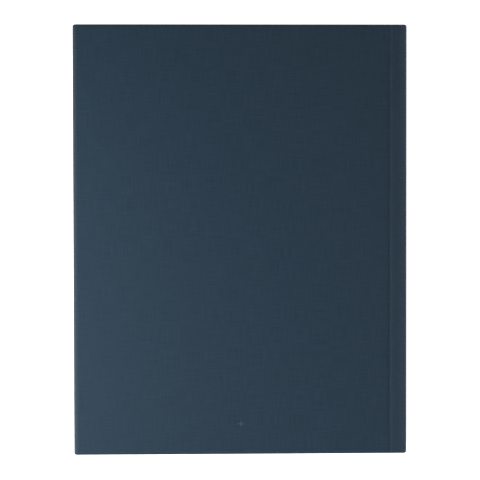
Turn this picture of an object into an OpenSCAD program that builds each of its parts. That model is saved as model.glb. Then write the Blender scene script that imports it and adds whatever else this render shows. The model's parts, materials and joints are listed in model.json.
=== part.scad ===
// Case-bound pilot logbook, lying face down: front cover on the table, back cover up.
// +X points to the spine, +Y to the head, +Z up. The origin is the middle of the footprint, on the table.
// The lower half of the case is drawn first, and flip() turns it over to make the upper half.

/* [Covers] */
// Width of the closed book, from the covers' fore edge to the back of the spine
book_w = 222; // [200:1:240]
// Height of the covers, from tail to head
book_h = 286; // [260:1:310]
// Thickness of the grey board inside each cover
board_t = 2.2; // [1.6:0.1:3]
// Thickness of the book cloth
cloth_t = 0.45; // [0.3:0.05:0.5]
// Width of the cloth folded in over a board's inner face
turn_in = 15; // [10:1:20]
// Radius of the covers' fore-edge corners, over the cloth
corner_r = 1.6; // [1:0.1:3]
// Distance from the back of the spine to the inner edge of a cover board
crease_inset = 12.5; // [12:0.5:15]

/* [Endpapers] */
// Thickness of the endpaper sheet
endpaper_t = 0.2; // [0.15:0.01:0.3]
// Margin of cloth left bare around a pastedown
pastedown_margin = 3; // [2:0.5:6]

/* [Text block] */
// Number of sewn signatures
signature_count = 12; // [6:1:16]
// Folded sheets nested in one signature
sheets = 4; // [2:1:4]
// Thickness of one leaf
leaf_t = 0.13; // [0.09:0.01:0.16]
// How far the covers stand past the leaves at head and tail
head_square = 3.3; // [2:0.1:5]
// How far the covers stand past the leaves at the fore edge
fore_square = 3; // [2:0.1:5]

/* [Spine] */
// Thickness of the spine board
spine_board_t = 2; // [1:0.1:2.2]
// Height of the cloth ridge over the text block's face
ridge_h = 2.6; // [2:0.1:2.6]
// Height of the bottom of the joint groove over the text block's face
groove_h = 1.2; // [1.15:0.05:1.5]
// Radius of the cloth over the long edges of the spine
spine_r = 2.2; // [1.5:0.1:2.3]
// Thickness of the paper liner pasted over the mull
liner_t = 0.15; // [0.1:0.05:0.2]
// Thickness of the mull, the open cloth glued over the folds
mull_t = 0.3; // [0.2:0.05:0.35]
// How far the mull stops short of the head and tail of the leaves
mull_inset = 12; // [10:1:20]
// Width of the mull's flange on each face of the text block
mull_flange = 4; // [2:0.5:4]
// Diameter of the sewing thread
thread_d = 0.4; // [0.3:0.05:0.4]
// Number of sewing stations along the spine
stations = 6; // [4:1:8]
// Diameter of the bead of a headband
band_d = 1.6; // [1.2:0.1:2]
// Height of the headband's tape that is glued to the folds
band_tape = 8; // [5:1:9]

/* [Hinges] */
// Distance from the back of the spine to the line that covers and leaves turn about
hinge_inset = 4; // [3.8:0.1:4.4]
// Width of the gutter strip of each leaf that stays with its fold
gutter_w = 10; // [9:0.5:14]

/* [Emblem] */
// Width of the blind-stamped star on the back cover
stamp_w = 6.5; // [4:0.5:12]
// Height of the blind-stamped star
stamp_h = 4; // [3:0.5:12]
// Distance of the star's middle from the tail edge of the cover
stamp_from_tail = 20.3; // [12:0.1:60]
// Depth of the star in the cloth
stamp_depth = 0.12; // [0.05:0.01:0.2]

/* [Hidden] */
$fn = 48;

// Clearances: between bodies that lie flat on each other, between nested sheets, and at a leaf's cut
flat_gap = 0.05;
leaf_gap = 0.02;
sheet_gap = 0.005;
turn_gap = 0.3;
joint_gap = 0.5;
skin_gap = 0.02;
// Radius of the air inside the innermost fold of a signature and inside an endpaper's fold
fold_air = 0.02;
// How far a cutting shape runs past what it cuts
cut = 1;
// Air between the liner and the cloth turned in behind the spine board
hollow_gap = 0.25;
// Air around a headband, and how far it stops short of the outer signatures' faces
band_gap = 0.05;
band_inset = 0.3;
// Distance of the first sewing station from the head or tail of the leaves
station_inset = 18;

// Along X
back_x = book_w / 2;
fore_x = -back_x + fore_square;
board_x = back_x - crease_inset;
hinge_x = back_x - hinge_inset;
gutter_x = hinge_x - gutter_w;
spine_board_x = back_x - cloth_t - spine_board_t;
liner_x = spine_board_x - cloth_t - hollow_gap - liner_t;
mull_x = liner_x - mull_t;
fold_x = mull_x - thread_d;
seam_x = fold_x;
groove_x = board_x + joint_gap;

// Along Y
leaf_h = book_h - 2 * head_square;
mull_l = leaf_h - 2 * mull_inset;
first_station = leaf_h / 2 - station_inset;

// Along Z
cover_t = 2 * cloth_t + board_t + endpaper_t;
block_z0 = cover_t + flat_gap;
signature_r = fold_air + sheets * leaf_t + (sheets - 1) * sheet_gap;
signature_pitch = 2 * signature_r + sheet_gap;
signature_z0 = block_z0 + endpaper_t + leaf_gap;
block_z1 = signature_z0 + signature_count * signature_pitch + leaf_gap + endpaper_t;
book_t = block_z1 + flat_gap + cover_t;
ridge_z = block_z0 - ridge_h;
groove_z = block_z0 - groove_h;
flange_z = block_z0 - endpaper_t - 2 * fold_air - skin_gap;

cloth_colour = [0.17, 0.23, 0.28];
board_colour = [0.55, 0.53, 0.49];
paper_colour = [0.93, 0.91, 0.85];
endpaper_colour = [0.87, 0.86, 0.82];
mull_colour = [0.90, 0.89, 0.84];
liner_colour = [0.66, 0.55, 0.40];
thread_colour = [0.96, 0.95, 0.92];
band_colour = [0.75, 0.76, 0.78];

function signature_z(i) = signature_z0 + (i - 0.5) * signature_pitch;
function sheet_r(k) = signature_r - k * (leaf_t + sheet_gap);
function signature_name(i) = str("signature_", i < 10 ? "0" : "", i);
function leaf_name(i) = str("turning_leaf_", i);
// Height of the joint cloth above the groove, steep beside the groove and level at the ridge
function joint_rise(s) = (ridge_h - groove_h) * (1 - pow(1 - s, 3));

// Turns a piece of the lower half over into the upper half
module flip() {
    translate([0, 0, book_t]) mirror([0, 0, 1]) children();
}

// Extrudes a profile drawn in X and Z along Y, centred on the book
module along_spine(length) {
    translate([0, length / 2, 0]) rotate([90, 0, 0]) linear_extrude(length) children();
}

// Rectangle given by its low and high corners
module span(low, high) {
    translate(low) square(high - low);
}

// Plan of a cover, drawn in by inset on three sides, with round fore-edge corners and a square joint side
module cover_plan(inset, joint_x) {
    r = max(corner_r - inset, 0.3);
    low_x = -back_x + inset;
    half_h = book_h / 2 - inset;
    union() {
        span([low_x + r, -half_h], [joint_x, half_h]);
        span([low_x, -half_h + r], [low_x + r, half_h - r]);
        for (side = [-1, 1]) translate([low_x + r, side * (half_h - r)]) circle(r);
    }
}

module cover_board() {
    color(board_colour) translate([0, 0, cloth_t]) linear_extrude(board_t) cover_plan(cloth_t, board_x);
}

// Cloth over a board: outer face, three wrapped edges, and turn-ins around an open window
module cover_cloth() {
    color(cloth_colour) difference() {
        linear_extrude(cover_t - endpaper_t) cover_plan(0, board_x);
        translate([0, 0, cloth_t]) linear_extrude(board_t) cover_plan(cloth_t, board_x + cut);
        translate([0, 0, cloth_t + board_t / 2]) linear_extrude(cover_t) cover_plan(turn_in, board_x + cut);
    }
}

// Endpaper glued down inside a cover: it lies on the board in the window and steps up over the turn-ins
module pastedown() {
    color(endpaper_colour) translate([0, 0, cloth_t + board_t]) difference() {
        linear_extrude(cloth_t + endpaper_t) cover_plan(pastedown_margin, board_x);
        translate([0, 0, -cut]) linear_extrude(cut + cloth_t) difference() {
            cover_plan(0, board_x + cut);
            cover_plan(turn_in, board_x + 2 * cut);
        }
        translate([0, 0, endpaper_t]) linear_extrude(cover_t) cover_plan(turn_in + endpaper_t, board_x + cut);
    }
}

// Four-pointed star, wider than it is high
module star() {
    waist = 0.28;
    polygon([for (i = [0 : 7]) let (r = i % 2 == 0 ? 0.5 : 0.5 * waist)
        [stamp_w * r * cos(45 * i), stamp_h * r * sin(45 * i)]]);
}

module back_cover_cloth() {
    color(cloth_colour) difference() {
        flip() cover_cloth();
        translate([0, stamp_from_tail - book_h / 2, book_t - stamp_depth]) linear_extrude(cut) star();
    }
}

// Section of the spine's rounded outline, drawn in by inset
module spine_section(inset) {
    r = spine_r - inset;
    low_z = ridge_z + inset;
    high_z = book_t - ridge_z - inset;
    centre_x = back_x - spine_r;
    union() {
        span([seam_x - cut, low_z], [centre_x, high_z]);
        span([centre_x, ridge_z + spine_r], [back_x - inset, book_t - ridge_z - spine_r]);
        for (z = [ridge_z + spine_r, book_t - ridge_z - spine_r]) translate([centre_x, z]) circle(r);
    }
}

module spine_board() {
    color(board_colour) along_spine(book_h - 2 * cloth_t) intersection() {
        spine_section(cloth_t + skin_gap);
        span([spine_board_x, 0], [back_x, book_t]);
    }
}

// Cloth around the spine board, with its ends turned in at head and tail
module spine_cloth() {
    color(cloth_colour) union() {
        along_spine(book_h) intersection() {
            difference() {
                spine_section(0);
                spine_section(cloth_t);
            }
            span([seam_x, 0], [back_x + cut, book_t]);
        }
        for (side = [-1, 1]) {
            translate([0, side * (book_h - cloth_t) / 2, 0]) along_spine(cloth_t) intersection() {
                spine_section(cloth_t / 2);
                span([spine_board_x - cloth_t, 0], [back_x, book_t]);
            }
            translate([0, side * (book_h - turn_in) / 2, 0]) along_spine(turn_in) intersection() {
                spine_section(cloth_t / 2);
                span([spine_board_x - cloth_t, 0], [spine_board_x - skin_gap / 2, book_t]);
            }
        }
    }
}

// Flexible cloth between a cover board and the spine, pressed into a groove beside the board
module joint_cloth() {
    steps = 10;
    outer = [for (i = [0 : steps]) let (s = i / steps)
        [groove_x + s * (seam_x - groove_x), groove_z - joint_rise(s)]];
    inner = [for (i = [steps : -1 : 0]) outer[i] + [0, cloth_t]];
    color(cloth_colour) along_spine(book_h) polygon(concat(outer, inner));
}

module spine_liner() {
    color(liner_colour) along_spine(leaf_h) span([liner_x, block_z0], [liner_x + liner_t, block_z1]);
}

// Open cloth over the folds, with a narrow flange lying on each face of the block
module spine_mull() {
    high_z = book_t - flange_z;
    color(mull_colour) along_spine(mull_l) difference() {
        span([mull_x - mull_flange, flange_z - mull_t], [liner_x, high_z + mull_t]);
        span([mull_x - mull_flange - cut, flange_z], [mull_x, high_z]);
    }
}

// Woven bead on the end of the folds, with its tape glued over them
module end_band() {
    bead_x = mull_x - band_d / 2 - band_gap;
    bead_y = leaf_h / 2 + band_d / 2 + leaf_gap;
    low_z = signature_z0 + band_inset;
    color(band_colour) translate([0, 0, low_z]) linear_extrude(book_t - 2 * low_z) union() {
        translate([bead_x, bead_y]) circle(band_d / 2);
        span([fold_x + band_gap, leaf_h / 2 - band_tape], [mull_x - band_gap, bead_y]);
    }
}

module tail_band() {
    mirror([0, 1, 0]) end_band();
}

// Thread across the folds, one strand at each sewing station
module sewing_thread() {
    color(thread_colour) for (i = [0 : stations - 1]) {
        y = -first_station + 2 * first_station * i / (stations - 1);
        translate([fold_x + thread_d / 2, y, signature_z(1)])
            cylinder(d = thread_d, h = signature_z(signature_count) - signature_z(1));
    }
}

// Section of a sheet folded around radius r at height z; its two leaves start at low_x and high_x
module fold_section(x, z, r, t, low_x, high_x) {
    union() {
        span([low_x, z - r], [x, z - r + t]);
        span([high_x, z + r - t], [x, z + r]);
        intersection() {
            translate([x, z]) difference() {
                circle(r);
                circle(r - t);
            }
            span([x, z - r], [x + r, z + r]);
        }
    }
}

// Fold of the endpaper: the gutter of the flyleaf, and the hinge that runs out towards the pastedown
module endpaper_fold() {
    r = fold_air + endpaper_t;
    color(endpaper_colour) along_spine(leaf_h)
        fold_section(fold_x - r, block_z0 - fold_air, r, endpaper_t, groove_x, gutter_x);
}

module flyleaf() {
    color(endpaper_colour) along_spine(leaf_h)
        span([fore_x, block_z0], [gutter_x - turn_gap, block_z0 + endpaper_t]);
}

// One signature: nested folded sheets, with the leaves of the last one cut at the gutter so that they can turn
module signature(i) {
    leaf_x = i == signature_count ? gutter_x : fore_x;
    color(paper_colour) for (k = [0 : sheets - 1])
        along_spine(leaf_h)
            fold_section(fold_x - signature_r, signature_z(i), sheet_r(k), leaf_t, leaf_x, leaf_x);
}

// One leaf of the last signature, counted down from the back cover, from its cut at the gutter to the fore edge
module turning_leaf(i) {
    high_z = signature_z(signature_count) + (i <= sheets ? sheet_r(i - 1) : leaf_t - sheet_r(2 * sheets - i));
    color(paper_colour) along_spine(leaf_h)
        span([fore_x, high_z - leaf_t], [gutter_x - turn_gap, high_z]);
}

flip() cover_board();  // back_board
back_cover_cloth();
flip() pastedown();  // back_pastedown
cover_board();  // front_board
cover_cloth();  // front_cover_cloth
pastedown();  // front_pastedown
spine_board();
spine_cloth();
flip() joint_cloth();  // back_joint_cloth
joint_cloth();  // front_joint_cloth
spine_liner();
spine_mull();
end_band();  // head_band
tail_band();
sewing_thread();
flip() endpaper_fold();  // back_endpaper_fold
endpaper_fold();  // front_endpaper_fold
flip() flyleaf();  // back_flyleaf
flyleaf();  // front_flyleaf
for (i = [1 : 2 * sheets]) turning_leaf(i);
for (i = [1 : signature_count]) signature(i);
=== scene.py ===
"""Looks of a case-bound pilot logbook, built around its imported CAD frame.

Metres, +Z up, spine at +X, head at +Y. The book lies face down, so its back cover is on top.
A half is one side of the book: the back half above the mid-plane, or the front half below it. The same
code makes both, from heights over the mid-plane.
"""

import json
import math
from collections import namedtuple

import bmesh
import bpy
from mathutils import Matrix, Vector, noise


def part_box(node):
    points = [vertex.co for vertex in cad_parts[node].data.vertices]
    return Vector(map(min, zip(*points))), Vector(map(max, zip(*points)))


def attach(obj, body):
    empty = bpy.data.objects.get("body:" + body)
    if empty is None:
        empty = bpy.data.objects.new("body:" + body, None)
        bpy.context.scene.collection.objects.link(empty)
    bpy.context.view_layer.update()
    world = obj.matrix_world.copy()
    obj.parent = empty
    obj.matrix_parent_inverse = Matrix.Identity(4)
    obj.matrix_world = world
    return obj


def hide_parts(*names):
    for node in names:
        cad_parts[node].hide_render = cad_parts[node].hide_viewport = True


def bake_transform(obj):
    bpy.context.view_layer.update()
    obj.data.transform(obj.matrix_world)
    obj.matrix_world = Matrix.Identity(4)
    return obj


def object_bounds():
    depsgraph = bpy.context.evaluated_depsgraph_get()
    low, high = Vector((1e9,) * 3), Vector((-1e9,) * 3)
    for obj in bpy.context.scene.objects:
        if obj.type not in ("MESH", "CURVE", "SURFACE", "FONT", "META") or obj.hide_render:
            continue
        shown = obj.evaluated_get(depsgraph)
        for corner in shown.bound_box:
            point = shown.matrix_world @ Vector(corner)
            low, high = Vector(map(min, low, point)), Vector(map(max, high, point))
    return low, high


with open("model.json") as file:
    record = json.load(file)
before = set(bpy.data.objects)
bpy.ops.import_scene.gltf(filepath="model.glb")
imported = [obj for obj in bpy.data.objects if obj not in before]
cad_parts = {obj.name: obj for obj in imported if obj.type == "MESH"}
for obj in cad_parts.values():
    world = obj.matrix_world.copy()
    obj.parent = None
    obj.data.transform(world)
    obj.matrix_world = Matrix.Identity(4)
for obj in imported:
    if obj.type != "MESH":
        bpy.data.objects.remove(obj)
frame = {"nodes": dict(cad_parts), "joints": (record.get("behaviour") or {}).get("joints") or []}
CAD_LOW, CAD_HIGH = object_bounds()
MM = 0.001

# ---------------------------------------------------------------- measures, from the frame
JOINT_AT = {j["name"]: Vector(j["pos_m"]) for j in frame["joints"]}
HINGE_X = JOINT_AT["back_cover_hinge"].x
MID_Z = CAD_HIGH.z / 2
FACE_H = CAD_HIGH.z - MID_Z
# The pressed cloth stands a little higher beside the spine than its plain CAD solid
RIDGE_RISE = 0.45 * MM
RIDGE_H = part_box("spine_cloth")[1].z - MID_Z + RIDGE_RISE
COVER_LOW, COVER_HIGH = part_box("back_cover_cloth")
COVER_T = COVER_HIGH.z - COVER_LOW.z
HALF_L = CAD_HIGH.y
FORE_X = CAD_LOW.x
SPINE_X = CAD_HIGH.x
BOARD_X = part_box("back_board")[1].x
FLYLEAF_LOW, FLYLEAF_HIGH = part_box("back_flyleaf")
LEAF_FORE_X = FLYLEAF_LOW.x
LEAF_HALF_L = FLYLEAF_HIGH.y
ENDPAPER_T = FLYLEAF_HIGH.z - FLYLEAF_LOW.z
PASTEDOWN_LOW, PASTEDOWN_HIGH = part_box("back_pastedown")
FOLD_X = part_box("signature_01")[1].x
SHEETS = 4
LEAVES = 2 * SHEETS

# ---------------------------------------------------------------- measures of the looks
# Case cloth: its thickness, its turn-ins, and the rounding of its edges and corners
CLOTH_T = 0.45 * MM
TURN_IN = 15 * MM
EDGE_R = 0.75 * MM
LEAST_R = 0.05 * MM
CORNER_R = 1.6 * MM
WARP = 0.12 * MM
FLAP_STEPS = 5
ARC_ANGLES = [math.radians(a) for a in (22.5, 45, 67.5, 90)]
CLOTH_SMOOTH_DEG = 50
# Cloth cut for one half: cover, half the spine and a turn-in, by the cover and two turn-ins
# Joint: two layers of cloth, with a pressed groove beside the board and a ridge beside the spine
JOINT_T = 1.0 * MM
JOINT_END_R = 0.5 * MM
WRAP_END_X = BOARD_X + 0.8 * MM
JOINT_START_X = BOARD_X + 0.9 * MM
GROOVE_START_X = BOARD_X - 0.8 * MM
GROOVE_X = BOARD_X + 1.1 * MM
GROOVE_END_X = BOARD_X + 2.1 * MM
GROOVE_DEPTH = 0.46 * MM
GROOVE_FADE = 30 * MM
GROOVE_FADE_SHARE = 0.4
RIDGE_CROWN = 0.12 * MM
# Spine: the rounding of its long edges and ends, and how deep its cloth and board go together
SPINE_R = 2.2 * MM
SPINE_END_R = 1.35 * MM
SPINE_DEPTH = 2.9 * MM
ROUND_H = RIDGE_H - SPINE_R
FLAP_X = SPINE_X - SPINE_DEPTH
INNER_H = FACE_H - COVER_T
# Paler edges: how far in at the fore edge, and how strong from 0 to 1: rubbed cloth at head and tail, a
# painted highlight on the ridge
FORE_PALE_REACH = 2.2 * MM
HEAD_WEAR = 0.3
RIDGE_HIGHLIGHT = 0.05
# Blind-stamped star on the back cover
STAMP_W = 6.5 * MM
STAMP_H = 4 * MM
STAMP_WAIST = 0.14
STAMP_FROM_TAIL = 20.3 * MM
STAMP_DEPTH = 0.2 * MM
# Leaves: where they part from their gutters, how far in they bend, and the air inside an endpaper's fold
PARTING_X = HINGE_X - 4.2 * MM
FLYLEAF_BEND_X = HINGE_X - 13 * MM
LEAF_BEND_X = HINGE_X - 20 * MM
FOLD_AIR = 0.02 * MM
BAND_WRAPS = 18

Half = namedtuple("Half", "name side hinge")
BACK = Half("back", 1, JOINT_AT["back_cover_hinge"])
FRONT = Half("front", -1, JOINT_AT["front_cover_hinge"])


def ramp(x, a, b):
    """0 before a and 1 after b, smooth between them."""
    t = min(max((x - a) / (b - a), 0.0), 1.0)
    return t * t * (3 - 2 * t)


def steps(a, b, count):
    """Evenly spaced values from a to b, both included."""
    return [a + (b - a) * i / count for i in range(count + 1)]


# ---------------------------------------------------------------- meshes
def make_object(name, points, faces, uvs, marks=None):
    """A mesh object with a UV map in millimetres and, if marks are given, a paling value at each point."""
    mesh = bpy.data.meshes.new(name)
    mesh.from_pydata([tuple(p) for p in points], [], faces)
    layer = mesh.uv_layers.new(name="cloth_mm")
    corner = 0
    for face_uvs in uvs:
        for uv in face_uvs:
            layer.data[corner].uv = (uv[0] / MM, uv[1] / MM)
            corner += 1
    # The "edge" marks make the cloth paler: rubbed at head and tail, a painted highlight on the ridge and
    # the spine's long edges, paler over the fore edge.
    if marks is not None:
        mesh.attributes.new("edge", "FLOAT", "POINT").data.foreach_set("value", marks)
    mesh.polygons.foreach_set("use_smooth", [True] * len(mesh.polygons))
    mesh.set_sharp_from_angle(angle=math.radians(40))
    mesh.validate()
    obj = bpy.data.objects.new(name, mesh)
    bpy.context.scene.collection.objects.link(obj)
    return obj


def face_outwards(obj):
    """Turns the faces of a closed mesh so that they all look outwards."""
    bm = bmesh.new()
    bm.from_mesh(obj.data)
    bmesh.ops.recalc_face_normals(bm, faces=bm.faces)
    bm.to_mesh(obj.data)
    bm.free()
    return obj


def end_faces(first, count, mirror):
    """Quads that close a loop of points the narrow way: point j is across from point mirror - j."""
    start = (mirror + 1 - count) // 2
    places = range(start, start + count // 2)
    pairs = [(first + j % count, first + (mirror - j) % count) for j in places]
    return [(a, b, d, c) for (a, b), (c, d) in zip(pairs, pairs[1:])]


def apply_modifiers(obj):
    """Makes the result of obj's modifiers its own mesh."""
    shown = obj.evaluated_get(bpy.context.evaluated_depsgraph_get())
    made = bpy.data.meshes.new_from_object(shown)
    obj.modifiers.clear()
    obj.data = made
    return obj


def loft(name, loops, along, marks=None, mirrors=(None, None), left_out=lambda i, j: False):
    """Closed loops of points joined into a tube. along holds the length at each loop, for the UV map.

    mirrors says how end_faces() closes the first and the last loop, and None leaves it open.
    left_out(i, j) is true for a face that isn't made, between loops i and i + 1 at point j."""
    count = len(loops[0])
    faces, uvs, around = [], [], []
    for loop in loops:
        total = [0.0]
        for j in range(count):
            total.append(total[-1] + (loop[(j + 1) % count] - loop[j]).length)
        around.append(total)
    for i in range(len(loops) - 1):
        for j in range(count):
            if left_out(i, j):
                continue
            k = (j + 1) % count
            faces.append((i * count + j, (i + 1) * count + j, (i + 1) * count + k, i * count + k))
            uvs.append([(along[i], around[i][j]), (along[i + 1], around[i + 1][j]),
                        (along[i + 1], around[i + 1][j + 1]), (along[i], around[i][j + 1])])
    points = [p for loop in loops for p in loop]
    for mirror, i in zip(mirrors, (0, len(loops) - 1)):
        if mirror is not None:
            closing = end_faces(i * count, count, mirror)
            faces += closing if i == 0 else [face[::-1] for face in closing]
            uvs += [[(points[v].z, points[v].y) for v in face] for face in faces[-len(closing):]]
    return make_object(name, points, faces, uvs, marks and [m for row in marks for m in row])


def slab(name, xs, ys, low, high):
    """Closed thin sheet over the grid xs by ys, between the world heights low(x, y) and high(x, y)."""
    nx, ny = len(xs), len(ys)
    points = [Vector((x, y, f(x, y))) for f in (low, high) for x in xs for y in ys]
    faces = []
    for i in range(nx - 1):
        for j in range(ny - 1):
            a, b, c, d = i * ny + j, (i + 1) * ny + j, (i + 1) * ny + j + 1, i * ny + j + 1
            faces.append((d, c, b, a))
            faces.append(tuple(nx * ny + v for v in (a, b, c, d)))
    rim = [i * ny for i in range(nx)] + [(nx - 1) * ny + j for j in range(1, ny)]
    rim += [i * ny + ny - 1 for i in range(nx - 2, -1, -1)] + [j for j in range(ny - 2, 0, -1)]
    for a, b in zip(rim, rim[1:] + rim[:1]):
        faces.append((a, b, nx * ny + b, nx * ny + a))
    uvs = [[(points[v].x, points[v].y) for v in face] for face in faces]
    return face_outwards(make_object(name, points, faces, uvs))


# ---------------------------------------------------------------- case cloth
def outer_height(x, y):
    """Height of the cloth over the mid-plane, from the fore edge to where the spine turns down."""
    ends = ramp(abs(y), HALF_L - GROOVE_FADE, HALF_L - 2 * MM)
    bottom = FACE_H - GROOVE_DEPTH * (1 - GROOVE_FADE_SHARE * ends)
    ridge = RIDGE_H + RIDGE_CROWN * math.sin(math.pi * ramp(x, GROOVE_X, HINGE_X + 2 * MM))
    sag = 0.5 + 0.5 * noise.noise(Vector((x * 14, y * 11, 3.7)))
    height = FACE_H - WARP * sag * (1 - ramp(x, GROOVE_START_X - 6 * MM, GROOVE_START_X))
    height += (bottom - FACE_H) * ramp(x, GROOVE_START_X, GROOVE_X)
    return height + (ridge - bottom) * ramp(x, GROOVE_X, GROOVE_END_X)


def across_face(half_l, r):
    """Places along Y over a flat face, with one at the inner edge of each turn-in."""
    flap = steps(r - half_l, TURN_IN - half_l, FLAP_STEPS)
    middle = steps(TURN_IN - half_l, half_l - TURN_IN, 34)
    return flap[:-1] + middle + [-y for y in flap[-2::-1]]


FACE_POINTS = len(across_face(HALF_L, EDGE_R))

# One loop round the case. height(y) is that of the outer face over the mid-plane, and inner(y) is how far
# the inner face lies from it, along X and downwards. fillets are the outer and the inner radius at head
# and tail.
# The last field is how much paler the cloth is made at that loop: a painted highlight on the ridge and the
# spine's long edges, and paler cloth over the fore edge.
Station = namedtuple("Station", "x height half_l inner fillets wear")


def case_loop(side, station):
    """Points and paling of one loop: outer face, head edge, inner face, tail edge."""
    half_l = station.half_l
    outer_r, inner_r = station.fillets
    # Each row is y, 1 if it starts from the inner face, the way inwards from that face, and how rubbed the
    # head or tail edge is there
    head = [(half_l - outer_r * (1 - math.sin(a)), 0, outer_r * (1 - math.cos(a)), math.sin(2 * a))
            for a in ARC_ANGLES]
    head += [(half_l - inner_r * (1 - math.sin(a)), 1, inner_r * (math.cos(a) - 1), math.sin(2 * a))
             for a in ARC_ANGLES[::-1]]
    rows = [(y, 0, 0.0, 0.0) for y in across_face(half_l, outer_r)] + head
    rows += [(y, 1, 0.0, 0.0) for y in across_face(half_l, inner_r)[::-1]]
    rows += [(-y, *rest) for y, *rest in head[::-1]]
    points, marks = [], []
    for y, is_inner, inward, mark in rows:
        along_x, down = station.inner(y)
        depth = math.hypot(along_x, down)
        share = (inward + is_inner * depth) / depth
        height = station.height(y) - share * down
        points.append(Vector((station.x + share * along_x, y, MID_Z + side * height)))
        # Paler cloth: rubbed head and tail edges, or the station's paling, which on the ridge and the
        # spine's long edges is a painted highlight
        marks.append(max(mark * HEAD_WEAR, station.wear))
    return points, marks


def cover_outline():
    """x, inset and half length of the loops over the board, from the rounded fore edge inwards."""
    found = []
    for a in steps(0, math.pi / 2, 8):
        e = CORNER_R * (1 - math.cos(a))
        half_l = HALF_L - CORNER_R + math.sqrt(max(CORNER_R ** 2 - (CORNER_R - e) ** 2, 0))
        inset = EDGE_R - math.sqrt(EDGE_R ** 2 - (EDGE_R - e) ** 2) if e < EDGE_R else 0.0
        found.append((FORE_X + e, inset, half_l))
    flap = steps(FORE_X + CORNER_R, FORE_X + TURN_IN, FLAP_STEPS + 3)[1:]
    return found + [(x, 0.0, HALF_L) for x in flap + steps(flap[-1], GROOVE_START_X, 34)[1:]]


def ridge_highlight(x):
    """Painted highlight on the ridge between groove and spine: most on its two shoulders."""
    rise = ramp(x, GROOVE_X, GROOVE_END_X)
    shoulder = ramp(x, GROOVE_X, GROOVE_X + 0.7 * MM)
    shoulder *= 1 - ramp(x, GROOVE_END_X, GROOVE_END_X + 1.5 * MM)
    towards_spine = ramp(x, SPINE_X - 7 * MM, SPINE_X - SPINE_R + 1 * MM)
    return RIDGE_HIGHLIGHT * (rise + 2.6 * shoulder + 6 * towards_spine)


def cover_station(x, inset, half_l):
    """Loop round a cover board. inset is how far both faces are rounded in at the fore edge."""
    r = max(EDGE_R - inset, LEAST_R)
    # The last value makes the cloth paler over the rounded fore edge, fading out inwards.
    return Station(x, lambda y: outer_height(x, y) - inset, half_l,
                   lambda y: (0, outer_height(x, y) - INNER_H - 2 * inset), (r, r),
                   1 - ramp(x - FORE_X, EDGE_R, FORE_PALE_REACH))


def board_edge_station(x):
    """Loop at the board's inner edge, where the faces start to come together."""
    return Station(x, lambda y: outer_height(x, y), HALF_L,
                   lambda y: (0, max(outer_height(x, y) - INNER_H, JOINT_T)), (JOINT_END_R, JOINT_END_R), 0)


def joint_station(x):
    """Loop round the joint. Near the spine its inner face leans back, to the flap inside the spine."""
    # Its last value is the ridge's painted highlight.
    return Station(x, lambda y: outer_height(x, y), HALF_L, lambda y: (min(FLAP_X - x, 0), JOINT_T),
                   (JOINT_END_R, JOINT_END_R), ridge_highlight(x))


def spine_corner_station(a):
    """Loop on the rounded long edge of the spine, at the angle a from the top."""
    x = SPINE_X - SPINE_R * (1 - math.sin(a))
    height = ROUND_H + SPINE_R * math.cos(a)
    turned = ramp(a, 0, math.pi / 2)
    down = height - (RIDGE_H - JOINT_T) * (1 - turned) - ROUND_H * turned
    end_r = JOINT_END_R + (SPINE_END_R - JOINT_END_R) * turned
    # The last value is a painted highlight, strongest halfway round the rounded edge, with the ridge's
    # painted highlight fading out as the edge turns down.
    return Station(x, lambda y: height, HALF_L, lambda y: (FLAP_X - x, down), (end_r, JOINT_END_R),
                   max(math.sin(2 * a) ** 2, ridge_highlight(x) * (1 - turned)))


def spine_station(height):
    """Loop on the flat back of the spine."""
    return Station(SPINE_X, lambda y: height, HALF_L, lambda y: (-SPINE_DEPTH, 0),
                   (SPINE_END_R, JOINT_END_R), 0)


def case_stations():
    """Every loop of the case cloth, from the fore edge to the middle of the spine."""
    joint = steps(JOINT_START_X, GROOVE_END_X, 9) + steps(GROOVE_END_X, SPINE_X - SPINE_R, 8)[1:]
    found = [cover_station(*measures) for measures in cover_outline()]
    found += [board_edge_station(x) for x in steps(GROOVE_START_X, WRAP_END_X, 5)[1:]]
    found += [joint_station(x) for x in joint]
    found += [spine_corner_station(a) for a in steps(0, math.pi / 2, 9)[1:]]
    return found + [spine_station(h) for h in steps(ROUND_H, 0, 7)[1:]]


def thicken(cloth):
    """Turns a closed skin into cloth of its real thickness, on its inner side."""
    face_outwards(cloth)
    thickness = cloth.modifiers.new("thickness", "SOLIDIFY")
    thickness.thickness = CLOTH_T
    thickness.offset = -1
    thickness.use_even_offset = True
    face_outwards(apply_modifiers(cloth))
    cloth.data.set_sharp_from_angle(angle=math.radians(CLOTH_SMOOTH_DEG))
    return cloth


def case_cloth(half):
    """Book cloth over a cover, its joint and its half of the spine: one sheet, turned in at three edges."""
    stations = case_stations()
    loops, marks = zip(*(case_loop(half.side, station) for station in stations))
    along, middle = [0.0], FACE_POINTS // 2
    for before, loop in zip(loops, loops[1:]):
        along.append(along[-1] + (loop[middle] - before[middle]).length)
    # The inner face has a window, inside the turn-ins
    head_points = 2 * len(ARC_ANGLES)
    window_from = [station.x for station in stations].index(FORE_X + TURN_IN)
    first = FACE_POINTS + head_points + FLAP_STEPS
    last = 2 * FACE_POINTS + head_points - 1 - FLAP_STEPS
    return thicken(loft(f"{half.name}_case_cloth", loops, along, marks,
                        (2 * FACE_POINTS + head_points - 1, None),
                        lambda i, j: i >= window_from and first <= j < last))


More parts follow.
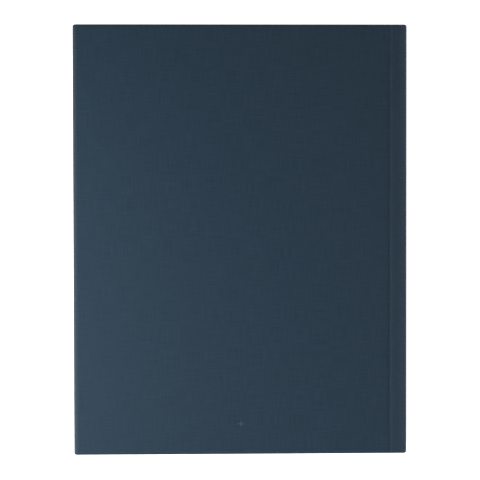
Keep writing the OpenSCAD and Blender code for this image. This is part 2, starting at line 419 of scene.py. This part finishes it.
def star_cutter():
    """Prism of a four-pointed star, to press the emblem into the cloth."""
    outline = []
    for i in range(8):
        r = 0.5 if i % 2 == 0 else STAMP_WAIST
        outline.append((STAMP_W * r * math.cos(math.pi * i / 4), STAMP_H * r * math.sin(math.pi * i / 4)))
    y0 = STAMP_FROM_TAIL - HALF_L
    bottom = MID_Z + FACE_H - STAMP_DEPTH
    points = [Vector((x, y0 + y, z)) for z in (bottom, bottom + 2 * MM) for x, y in outline]
    faces = [tuple(range(7, -1, -1)), tuple(range(8, 16))]
    faces += [(i, (i + 1) % 8, 8 + (i + 1) % 8, 8 + i) for i in range(8)]
    uvs = [[(0, 0)] * len(face) for face in faces]
    return face_outwards(make_object("star_cutter", points, faces, uvs))


def cut_out(obj, cutter):
    """Takes the cutter's shape out of obj, and removes the cutter."""
    modifier = obj.modifiers.new("stamp", "BOOLEAN")
    modifier.operation = "DIFFERENCE"
    modifier.solver = "EXACT"
    modifier.object = cutter
    apply_modifiers(obj)
    obj.data.set_sharp_from_angle(angle=math.radians(CLOTH_SMOOTH_DEG))
    bpy.data.objects.remove(cutter)


# ---------------------------------------------------------------- endpapers
def pastedown_height(x, y):
    """Height of the pastedown's inner face: it steps outwards from the turn-ins to the bare board."""
    over, beyond = 0.4 * MM, 1.4 * MM
    window = ramp(x, FORE_X + TURN_IN - over, FORE_X + TURN_IN + beyond)
    window *= 1 - ramp(abs(y), HALF_L - TURN_IN - beyond, HALF_L - TURN_IN + over)
    past_board = ramp(x, BOARD_X - 0.5 * MM, PARTING_X)
    return PASTEDOWN_LOW.z - MID_Z + CLOTH_T * window * (1 - past_board)


def pastedown_sheet(half):
    """Endpaper glued inside a cover, running on over the hinge to the fold."""
    flap = FORE_X + TURN_IN
    xs = [PASTEDOWN_LOW.x, flap - 1 * MM] + steps(flap - 0.5 * MM, flap + 1.5 * MM, 6)
    xs += steps(flap + 5 * MM, BOARD_X - 1 * MM, 12) + steps(BOARD_X - 0.5 * MM, PARTING_X, 16)
    xs += [FOLD_X - 0.3 * MM]
    edge = HALF_L - TURN_IN
    ends = [PASTEDOWN_HIGH.y, edge + 1 * MM] + steps(edge + 0.5 * MM, edge - 1.5 * MM, 6)
    ys = [-y for y in ends] + steps(-edge + 6 * MM, edge - 6 * MM, 12) + ends[::-1]
    inner = lambda x, y: MID_Z + half.side * pastedown_height(x, y)
    outer = lambda x, y: inner(x, y) + half.side * ENDPAPER_T
    low, high = (inner, outer) if half.side > 0 else (outer, inner)
    return slab(f"{half.name}_pastedown_sheet", xs, ys, low, high)


def leaf_sheet(name, low_z, high_z, bend_x):
    """One leaf, from the fore edge to the parting line, with fine steps where it bends."""
    xs = steps(LEAF_FORE_X, bend_x, 10) + steps(bend_x, PARTING_X, 36)[1:]
    ys = steps(-LEAF_HALF_L, LEAF_HALF_L, 8)
    return slab(name, xs, ys, lambda x, y: low_z, lambda x, y: high_z)


def folded_strip(name, centre_z, radii):
    """Gutters and folds of nested sheets around a height. radii holds (outer radius, thickness) pairs."""
    points, faces = [], []
    centre_x = FOLD_X - radii[0][0]
    arc = [math.radians(a) for a in steps(-90, 90, 12)]

    def u_shape(r):
        bend = [(centre_x + r * math.cos(a), centre_z + r * math.sin(a)) for a in arc]
        return [(PARTING_X, centre_z - r), *bend, (PARTING_X, centre_z + r)]

    for r, t in radii:
        ring = u_shape(r) + u_shape(r - t)[::-1]
        first, count = len(points), len(ring)
        points += [Vector((x, y, z)) for y in (-LEAF_HALF_L, LEAF_HALF_L) for x, z in ring]
        for j in range(count):
            k = (j + 1) % count
            faces.append((first + k, first + j, first + count + j, first + count + k))
        faces += end_faces(first, count, count - 1) + end_faces(first + count, count, count - 1)
    uvs = [[(points[v].x, points[v].y) for v in face] for face in faces]
    return face_outwards(make_object(name, points, faces, uvs))


# ---------------------------------------------------------------- headbands
def headband(name, node, end):
    """Wrapped bead on the end of the folds, with the tape that is glued over them. end is 1 at the head.

    The bead swells at each wrap, and the wraps lean a little."""
    low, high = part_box(node)
    r = (high.x - low.x) / 2
    x0 = high.x - r
    y0 = end * (max(abs(low.y), abs(high.y)) - r)
    rings, ring_points = BAND_WRAPS * 6, 20
    waist, lean = 0.14, 0.25 * r
    turned = steps(0, 2 * math.pi, ring_points)[:-1]
    loops, along = [], []
    for i in range(rings + 1):
        z = low.z + (high.z - low.z) * i / rings
        swell = r * (1 - waist + waist * abs(math.sin(math.pi * BAND_WRAPS * i / rings)))
        loops.append([Vector((x0 + swell * math.cos(a), y0 + swell * math.sin(a), z + lean * math.sin(a)))
                      for a in turned])
        along.append(z)
    bead = face_outwards(loft(name, loops, along, mirrors=(ring_points - 1, ring_points - 1)))
    tape_y = sorted((y0, end * min(abs(low.y), abs(high.y))))
    tape = slab(name + "_tape", steps(x0 + 0.55 * r, x0 + 0.95 * r, 1), steps(*tape_y, 6),
                lambda x, y: low.z, lambda x, y: high.z)
    return bead, tape


# ---------------------------------------------------------------- materials
class Nodes:
    """Short calls for building one material's node tree."""

    def __init__(self, name):
        self.material = bpy.data.materials.new(name)
        self.material.use_nodes = True
        self.tree = self.material.node_tree
        self.shader = self.tree.nodes["Principled BSDF"]

    def new(self, kind, **settings):
        node = self.tree.nodes.new(kind)
        for key, value in settings.items():
            setattr(node, key, value)
        return node

    def link(self, value, socket):
        """Joins an output to a socket, or sets a plain value on it."""
        if isinstance(value, bpy.types.NodeSocket):
            self.tree.links.new(value, socket)
        else:
            socket.default_value = value

    def math(self, operation, a, b=0.0):
        node = self.new("ShaderNodeMath", operation=operation)
        self.link(a, node.inputs[0])
        self.link(b, node.inputs[1])
        return node.outputs[0]

    def mix(self, share, a, b):
        """Colour between a and b."""
        node = self.new("ShaderNodeMix", data_type="RGBA")
        self.link(share, node.inputs["Factor"])
        self.link(a if isinstance(a, bpy.types.NodeSocket) else (*a, 1), node.inputs["A"])
        self.link(b if isinstance(b, bpy.types.NodeSocket) else (*b, 1), node.inputs["B"])
        return node.outputs["Result"]

    def noise(self, vector, scale, detail=3.0, roughness=0.5):
        node = self.new("ShaderNodeTexNoise")
        self.link(vector, node.inputs["Vector"])
        self.link(scale, node.inputs["Scale"])
        self.link(detail, node.inputs["Detail"])
        self.link(roughness, node.inputs["Roughness"])
        return node.outputs["Fac"]

    def scaled(self, vector, scale):
        node = self.new("ShaderNodeMapping")
        self.link(vector, node.inputs["Vector"])
        self.link(scale, node.inputs["Scale"])
        return node.outputs["Vector"]

    def between(self, value, low, high, to_low=0.0, to_high=1.0):
        """Maps low..high to to_low..to_high, clamped."""
        node = self.new("ShaderNodeMapRange", clamp=True)
        for i, v in enumerate((value, low, high, to_low, to_high)):
            self.link(v, node.inputs[i])
        return node.outputs[0]

    def split(self, vector):
        node = self.new("ShaderNodeSeparateXYZ")
        self.link(vector, node.inputs[0])
        return node.outputs

    def bump(self, height, strength, distance, normal=None):
        node = self.new("ShaderNodeBump")
        self.link(height, node.inputs["Height"])
        self.link(strength, node.inputs["Strength"])
        self.link(distance, node.inputs["Distance"])
        if normal is not None:
            self.link(normal, node.inputs["Normal"])
        return node.outputs["Normal"]

    def uv(self):
        return self.new("ShaderNodeTexCoord").outputs["UV"]

    def place(self):
        return self.new("ShaderNodeTexCoord").outputs["Object"]

    def attribute(self, name):
        return self.new("ShaderNodeAttribute", attribute_name=name).outputs["Fac"]

    def set(self, **inputs):
        """Sets the shader's own inputs, by names with underscores for spaces."""
        for key, value in inputs.items():
            self.link(value, self.shader.inputs[key.replace("_", " ")])
        return self.material


def weave(n, uv, pitch):
    """Height of a plain weave over a UV map in millimetres. pitch is the width of one thread."""
    u = n.math("MULTIPLY", n.split(uv)[0], math.pi / pitch)
    v = n.math("MULTIPLY", n.split(uv)[1], math.pi / pitch)
    su, sv = n.math("SINE", u), n.math("SINE", v)
    over = n.math("MULTIPLY_ADD", n.math("MULTIPLY", su, sv), 0.5)
    over.node.inputs[2].default_value = 0.5
    warp = n.math("MULTIPLY", n.math("ABSOLUTE", su), over)
    weft = n.math("MULTIPLY", n.math("ABSOLUTE", sv), n.math("SUBTRACT", 1.0, over))
    return n.math("ADD", warp, weft)


def book_cloth():
    """Navy starched book cloth: fine plain weave with slubs, faint mottling, painted shade between the
    threads, and paler edges: rubbed at head and tail, a painted highlight on the ridge and the spine's long
    edges.
    """
    n = Nodes("book_cloth")
    uv = n.uv()
    height = weave(n, uv, 0.52)
    slub_u = n.noise(n.scaled(uv, (1.9, 0.07, 1)), 1.0, 2)
    slub_v = n.noise(n.scaled(uv, (0.07, 1.9, 1)), 1.0, 2)
    slub = n.math("MULTIPLY", n.math("ADD", slub_u, slub_v), 0.5)
    mottle = n.noise(uv, 0.045, 5, 0.62)
    speck = n.noise(uv, 2.6, 2)
    dark, light = (0.0092, 0.0265, 0.0480), (0.0165, 0.0400, 0.0670)
    faded, thread_gap_shade = (0.018, 0.039, 0.058), (0.006, 0.011, 0.018)
    lint, rubbed_and_lit_tone = (0.034, 0.056, 0.078), (0.085, 0.108, 0.138)
    colour = n.mix(n.between(slub, 0.36, 0.64), dark, light)
    colour = n.mix(n.between(mottle, 0.3, 0.7, 0.0, 0.30), colour, faded)
    # Painted shade in the hollows between the threads
    colour = n.mix(n.between(height, 0.15, 0.5, 0.45, 0.0), colour, thread_gap_shade)
    colour = n.mix(n.between(speck, 0.62, 0.8, 0.0, 0.3), colour, lint)
    # Paler cloth at the edge marks: rubbed at head and tail, a painted highlight on the ridge and the
    # spine's long edges, paler over the fore edge
    rubbing_and_highlight = n.math("MULTIPLY", n.attribute("edge"), n.between(n.noise(uv, 0.9, 4), 0.3, 0.6, 0.25, 1.0))
    colour = n.mix(n.math("MULTIPLY", rubbing_and_highlight, 0.7), colour, rubbed_and_lit_tone)
    relief = n.math("ADD", height, n.math("MULTIPLY", slub, 0.8))
    normal = n.bump(relief, 0.5, 0.00012)
    rough = n.between(mottle, 0.2, 0.8, 0.6, 0.7)
    return n.set(Base_Color=colour, Roughness=rough, Normal=normal, Specular_IOR_Level=0.22,
                 Sheen_Weight=0.02, Sheen_Roughness=0.45, Sheen_Tint=(0.62, 0.72, 0.85, 1))


def paper_base(n, where, tint, scale):
    """Colour and normal of uncoated paper, cloudy and fibrous. scale is features to a unit of where."""
    cloud = n.noise(where, scale, 4, 0.6)
    fibre = n.noise(n.scaled(where, (6, 1.4, 1)), scale * 12, 3)
    paler = tuple(min(c * 1.05, 1.0) for c in tint)
    darker = tuple(c * 0.93 for c in tint)
    colour = n.mix(n.between(cloud, 0.3, 0.7), darker, paler)
    colour = n.mix(n.between(fibre, 0.6, 0.8, 0, 0.25), colour, tuple(c * 0.86 for c in tint))
    return colour, n.bump(fibre, 0.25, 0.00005)


def endpaper():
    """Heavy warm white endpaper."""
    n = Nodes("endpaper")
    colour, normal = paper_base(n, n.uv(), (0.74, 0.715, 0.64), 0.06)
    return n.set(Base_Color=colour, Normal=normal, Roughness=0.86, Specular_IOR_Level=0.3)


def line(n, where, period, width, low, high):
    """Mask of ruled lines, one each period, between low and high of where, a coordinate in millimetres."""
    turned = n.math("DIVIDE", n.math("SUBTRACT", where, low), period)
    off = n.math("ABSOLUTE", n.math("SUBTRACT", n.math("FRACT", n.math("ADD", turned, 0.5)), 0.5))
    ink = n.math("LESS_THAN", off, width / period / 2)
    inside = n.math("MULTIPLY", n.math("GREATER_THAN", where, low - width),
                    n.math("LESS_THAN", where, high + width))
    return n.math("MULTIPLY", ink, inside)


def ledger_page():
    """Cream writing paper with a ruled flight table: a tinted head, rows, columns and a totals block."""
    n = Nodes("ledger_page")
    uv = n.uv()
    x, y = n.split(uv)[0], n.split(uv)[1]
    colour, normal = paper_base(n, uv, (0.74, 0.71, 0.62), 0.07)
    # The table's edges, and the heights where its head and its totals block end
    left, right, foot, top = -96.0, 92.0, -126.0, 120.0
    head_low, totals_high = 98.0, -102.0
    # Two wide columns at the left, then narrow ones
    wide_w, narrow_w, row_h = 32.0, 11.2727, 8.0
    narrow_from = left + 2 * wide_w
    fine, bold, frame_w = 0.28, 0.5, 0.7
    tint, ink_colour = (0.42, 0.55, 0.60), (0.16, 0.27, 0.34)

    def inside(where, low, high):
        return n.math("MULTIPLY", n.math("GREATER_THAN", where, low), n.math("LESS_THAN", where, high))

    def ruled(where, period, width, low, high, within):
        return n.math("MULTIPLY", line(n, where, period, width, low, high), within)

    in_x, in_y = inside(x, left, right), inside(y, foot, top)
    head = n.math("MULTIPLY", in_x, inside(y, head_low, top))
    totals = n.math("MULTIPLY", in_x, inside(y, foot, totals_high))
    colour = n.mix(n.math("MULTIPLY", head, 0.5), colour, tint)
    colour = n.mix(n.math("MULTIPLY", totals, 0.28), colour, tint)
    ink = ruled(y, row_h, fine, foot, head_low, in_x)
    for lines in (ruled(x, wide_w, bold, left, narrow_from, in_y),
                  ruled(x, narrow_w, fine, narrow_from, right, in_y),
                  ruled(x, right - left, frame_w, left, right, in_y),
                  ruled(y, top - head_low, frame_w, head_low, top, in_x),
                  ruled(y, totals_high - foot, frame_w, foot, totals_high, in_x)):
        ink = n.math("MAXIMUM", ink, lines)
    colour = n.mix(n.math("MULTIPLY", ink, 0.75), colour, ink_colour)
    return n.set(Base_Color=colour, Normal=normal, Roughness=0.82, Specular_IOR_Level=0.3)


def block_paper():
    """Paper of the closed signatures: on the trimmed edges, the leaves show as fine dark lines, painted
    shadow in the gaps between them, varying at random from leaf to leaf.
    """
    n = Nodes("block_paper")
    place = n.place()
    colour, normal = paper_base(n, place, (0.62, 0.59, 0.505), 60)
    leaf_lines = n.noise(n.scaled(place, (6, 6, 3600)), 1.0, 2, 0.7)
    smudge = n.noise(n.scaled(place, (1, 1, 12)), 26, 3)
    upright = n.split(n.new("ShaderNodeNewGeometry").outputs["Normal"])[2]
    edge = n.math("LESS_THAN", n.math("ABSOLUTE", upright), 0.5)
    # Painted shadow in the gaps between the leaves on the trimmed edges
    lined = n.mix(n.between(leaf_lines, 0.35, 0.62, 0.85, 0.0), colour, (0.30, 0.27, 0.21))
    lined = n.mix(n.between(smudge, 0.45, 0.75, 0, 0.25), lined, (0.62, 0.57, 0.47))
    colour = n.mix(edge, colour, lined)
    return n.set(Base_Color=colour, Normal=n.bump(leaf_lines, 0.35, 0.00008, normal), Roughness=0.88,
                 Specular_IOR_Level=0.25)


def grey_board():
    """Grey binder's board with flecks of recycled fibre."""
    n = Nodes("grey_board")
    place = n.place()
    fleck = n.noise(place, 900, 3)
    layer = n.noise(n.scaled(place, (30, 30, 2600)), 1.0, 2)
    colour = n.mix(n.between(fleck, 0.35, 0.65), (0.20, 0.19, 0.165), (0.34, 0.325, 0.29))
    colour = n.mix(n.between(layer, 0.4, 0.7, 0, 0.4), colour, (0.16, 0.15, 0.13))
    return n.set(Base_Color=colour, Normal=n.bump(fleck, 0.4, 0.0001), Roughness=0.92)


def kraft_liner():
    """Brown kraft paper with long fibres."""
    n = Nodes("kraft_liner")
    fibre = n.noise(n.scaled(n.place(), (400, 60, 900)), 1.0, 4)
    colour = n.mix(n.between(fibre, 0.35, 0.65), (0.27, 0.175, 0.085), (0.42, 0.30, 0.17))
    return n.set(Base_Color=colour, Normal=n.bump(fibre, 0.3, 0.00006), Roughness=0.88)


def mull_cloth():
    """Open starched cotton: a coarse grid of threads."""
    n = Nodes("mull_cloth")
    place = n.scaled(n.place(), (1000, 1000, 1000))
    y, z = n.split(place)[1], n.split(place)[2]
    threads = n.math("MAXIMUM", n.math("ABSOLUTE", n.math("SINE", n.math("MULTIPLY", y, 3.0))),
                     n.math("ABSOLUTE", n.math("SINE", n.math("MULTIPLY", z, 3.0))))
    colour = n.mix(n.between(threads, 0.5, 0.9), (0.50, 0.46, 0.36), (0.80, 0.77, 0.68))
    return n.set(Base_Color=colour, Normal=n.bump(threads, 0.6, 0.0001), Roughness=0.9, Sheen_Weight=0.1)


def linen_thread():
    """Waxed linen thread with a tight twist."""
    n = Nodes("linen_thread")
    place = n.place()
    twist = n.new("ShaderNodeTexWave", wave_type="BANDS", bands_direction="DIAGONAL")
    n.link(place, twist.inputs["Vector"])
    n.link(2200.0, twist.inputs["Scale"])
    colour = n.mix(twist.outputs["Fac"], (0.60, 0.56, 0.46), (0.86, 0.83, 0.75))
    return n.set(Base_Color=colour, Normal=n.bump(twist.outputs["Fac"], 0.5, 0.00008), Roughness=0.55)


def headband_silk(stripes):
    """Striped woven silk: navy and white wraps along the bead, with fine threads around it."""
    n = Nodes("headband_silk")
    place = n.place()
    z = n.split(place)[2]
    low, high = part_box("head_band")
    phase = n.math("MULTIPLY", n.math("SUBTRACT", z, low.z), stripes / (high.z - low.z) / 2)
    navy = n.math("GREATER_THAN", n.math("FRACT", phase), 0.5)
    fine = n.new("ShaderNodeTexWave", wave_type="BANDS", bands_direction="Z")
    n.link(place, fine.inputs["Vector"])
    n.link(1500.0, fine.inputs["Scale"])
    colour = n.mix(navy, (0.80, 0.79, 0.74), (0.030, 0.055, 0.110))
    colour = n.mix(n.math("MULTIPLY", fine.outputs["Fac"], 0.25), colour, (0.2, 0.2, 0.2))
    return n.set(Base_Color=colour, Normal=n.bump(fine.outputs["Fac"], 0.5, 0.00006), Roughness=0.45,
                 Sheen_Weight=0.3)


def studio_floor():
    """Plain white sweep, lit a little from inside so that it stays pale."""
    n = Nodes("studio_floor")
    grain = n.noise(n.place(), 3, 2)
    colour = n.mix(grain, (0.90, 0.90, 0.90), (0.93, 0.93, 0.93))
    return n.set(Base_Color=colour, Roughness=0.95, Specular_IOR_Level=0.0,
                 Emission_Color=(1, 1, 1, 1), Emission_Strength=0.82)


def dress(obj, material):
    """Gives obj one material."""
    obj.data.materials.clear()
    obj.data.materials.append(material)
    return obj


# ---------------------------------------------------------------- building the book
CLOTH = book_cloth()
ENDPAPER = endpaper()
PAGE = ledger_page()
BLOCK = block_paper()
BOARD = grey_board()
THREAD = linen_thread()


def build_case(half):
    """Cloth over a cover, its joint and half of the spine."""
    cloth = dress(case_cloth(half), CLOTH)
    if half.side > 0:
        cut_out(cloth, star_cutter())
    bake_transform(cloth)
    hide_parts(f"{half.name}_cover_cloth", f"{half.name}_joint_cloth", "spine_cloth")
    return cloth


def build_endpapers(half):
    """Pastedown with its hinge, the flyleaf, and the fold between them."""
    sheet = dress(pastedown_sheet(half), ENDPAPER)
    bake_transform(sheet)
    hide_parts(f"{half.name}_pastedown")
    low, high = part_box(f"{half.name}_flyleaf")
    flyleaf = dress(leaf_sheet(f"{half.name}_flyleaf_sheet", low.z, high.z, FLYLEAF_BEND_X), ENDPAPER)
    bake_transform(flyleaf)
    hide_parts(f"{half.name}_flyleaf")
    fold_r = ENDPAPER_T + FOLD_AIR
    fold_z = half.hinge.z + half.side * FOLD_AIR
    fold = dress(folded_strip(f"{half.name}_endpaper_gutter", fold_z, [(fold_r, ENDPAPER_T)]), ENDPAPER)
    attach(fold, "book_block")
    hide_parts(f"{half.name}_endpaper_fold")


def build_leaves():
    """The eight leaves of the last signature, and the folds that they turn from."""
    low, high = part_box("signature_12")
    for i in range(1, LEAVES + 1):
        node = f"turning_leaf_{i}"
        leaf_low, leaf_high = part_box(node)
        leaf = dress(leaf_sheet(f"ledger_leaf_{i}", leaf_low.z, leaf_high.z, LEAF_BEND_X), PAGE)
        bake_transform(leaf)
        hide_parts(node)
    middle = (low.z + high.z) / 2
    radii = []
    for k in range(SHEETS):
        leaf_low, leaf_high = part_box(f"turning_leaf_{k + 1}")
        radii.append((leaf_high.z - middle, leaf_high.z - leaf_low.z))
    folds = dress(folded_strip("last_signature_folds", middle, radii), BLOCK)
    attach(folds, "book_block")
    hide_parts("signature_12")


def build_headbands():
    """Striped bands at head and tail of the spine."""
    silk = headband_silk(BAND_WRAPS)
    for name, node, end in (("head_band_silk", "head_band", 1), ("tail_band_silk", "tail_band", -1)):
        bead, tape = headband(name, node, end)
        for piece in (bead, tape):
            dress(piece, silk)
            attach(piece, "book_block")
        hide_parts(node)


def dress_frame():
    """Materials for the CAD nodes that stay."""
    chosen = {"back_board": BOARD, "front_board": BOARD, "spine_board": BOARD, "sewing_thread": THREAD,
              "spine_liner": kraft_liner(), "spine_mull": mull_cloth()}
    chosen.update({f"signature_{i:02d}": BLOCK for i in range(1, 12)})
    for node, material in chosen.items():
        dress(frame["nodes"][node], material)


# ---------------------------------------------------------------- studio
def studio():
    """Pale floor, an even world, and soft lights from the fore edge, the tail and the spine's side."""
    bpy.ops.mesh.primitive_plane_add(size=8, location=(0, 0, -0.4 * MM))
    floor = bpy.context.object
    floor.name = "studio_floor"
    dress(floor, studio_floor())
    world = bpy.data.worlds.new("studio")
    bpy.context.scene.world = world
    world.use_nodes = True
    background = world.node_tree.nodes["Background"]
    background.inputs["Color"].default_value = (1.0, 1.0, 1.0, 1)
    background.inputs["Strength"].default_value = 0.18
    soft_light("side_light", (-0.28, -0.05, 0.17), (0.34, 0.1), 0.8)
    soft_light("front_light", (-0.15, -0.55, 0.62), (0.6, 0.6), 4.15)
    soft_light("fill_light", (0.9, 0.3, 0.9), (1.2, 1.2), 5.65)


def soft_light(name, place, size, power):
    """Rectangular soft light that faces the book."""
    light = bpy.data.lights.new(name, "AREA")
    light.shape = "RECTANGLE"
    light.size, light.size_y = size
    light.energy = power
    lamp = bpy.data.objects.new(name, light)
    lamp.location = place
    lamp.rotation_euler = (-Vector(place)).to_track_quat("-Z", "Y").to_euler()
    lamp.visible_camera = False
    bpy.context.scene.collection.objects.link(lamp)


def camera():
    """Long lens above the book, leaning a little towards the head and the fore edge."""
    data = bpy.data.cameras.new("camera")
    cam = bpy.data.objects.new("camera", data)
    bpy.context.scene.collection.objects.link(cam)
    bpy.context.scene.camera = cam
    distance, field, sensor = 1.3, 0.3192, 36
    lean_x, lean_y, roll = (math.radians(a) for a in (-1.9, 1.7, -0.10))
    data.sensor_width = sensor
    data.lens = sensor * distance / field
    data.clip_start, data.clip_end = 0.05, 20
    target = Vector((-0.35 * MM, -0.05 * MM, CAD_HIGH.z))
    back = Vector((math.sin(lean_x), math.sin(lean_y), 1)).normalized()
    cam.location = target + back * distance
    up = Vector((0, 1, 0))
    right = up.cross(back).normalized()
    up = back.cross(right)
    turn = Matrix((right, up, back)).transposed().to_4x4()
    cam.matrix_world = Matrix.Translation(cam.location) @ turn @ Matrix.Rotation(roll, 4, "Z")


camera()
studio()
for half in (BACK, FRONT):
    build_case(half)
    build_endpapers(half)
build_leaves()
build_headbands()
dress_frame()
bpy.context.scene.view_settings.view_transform = "Standard"
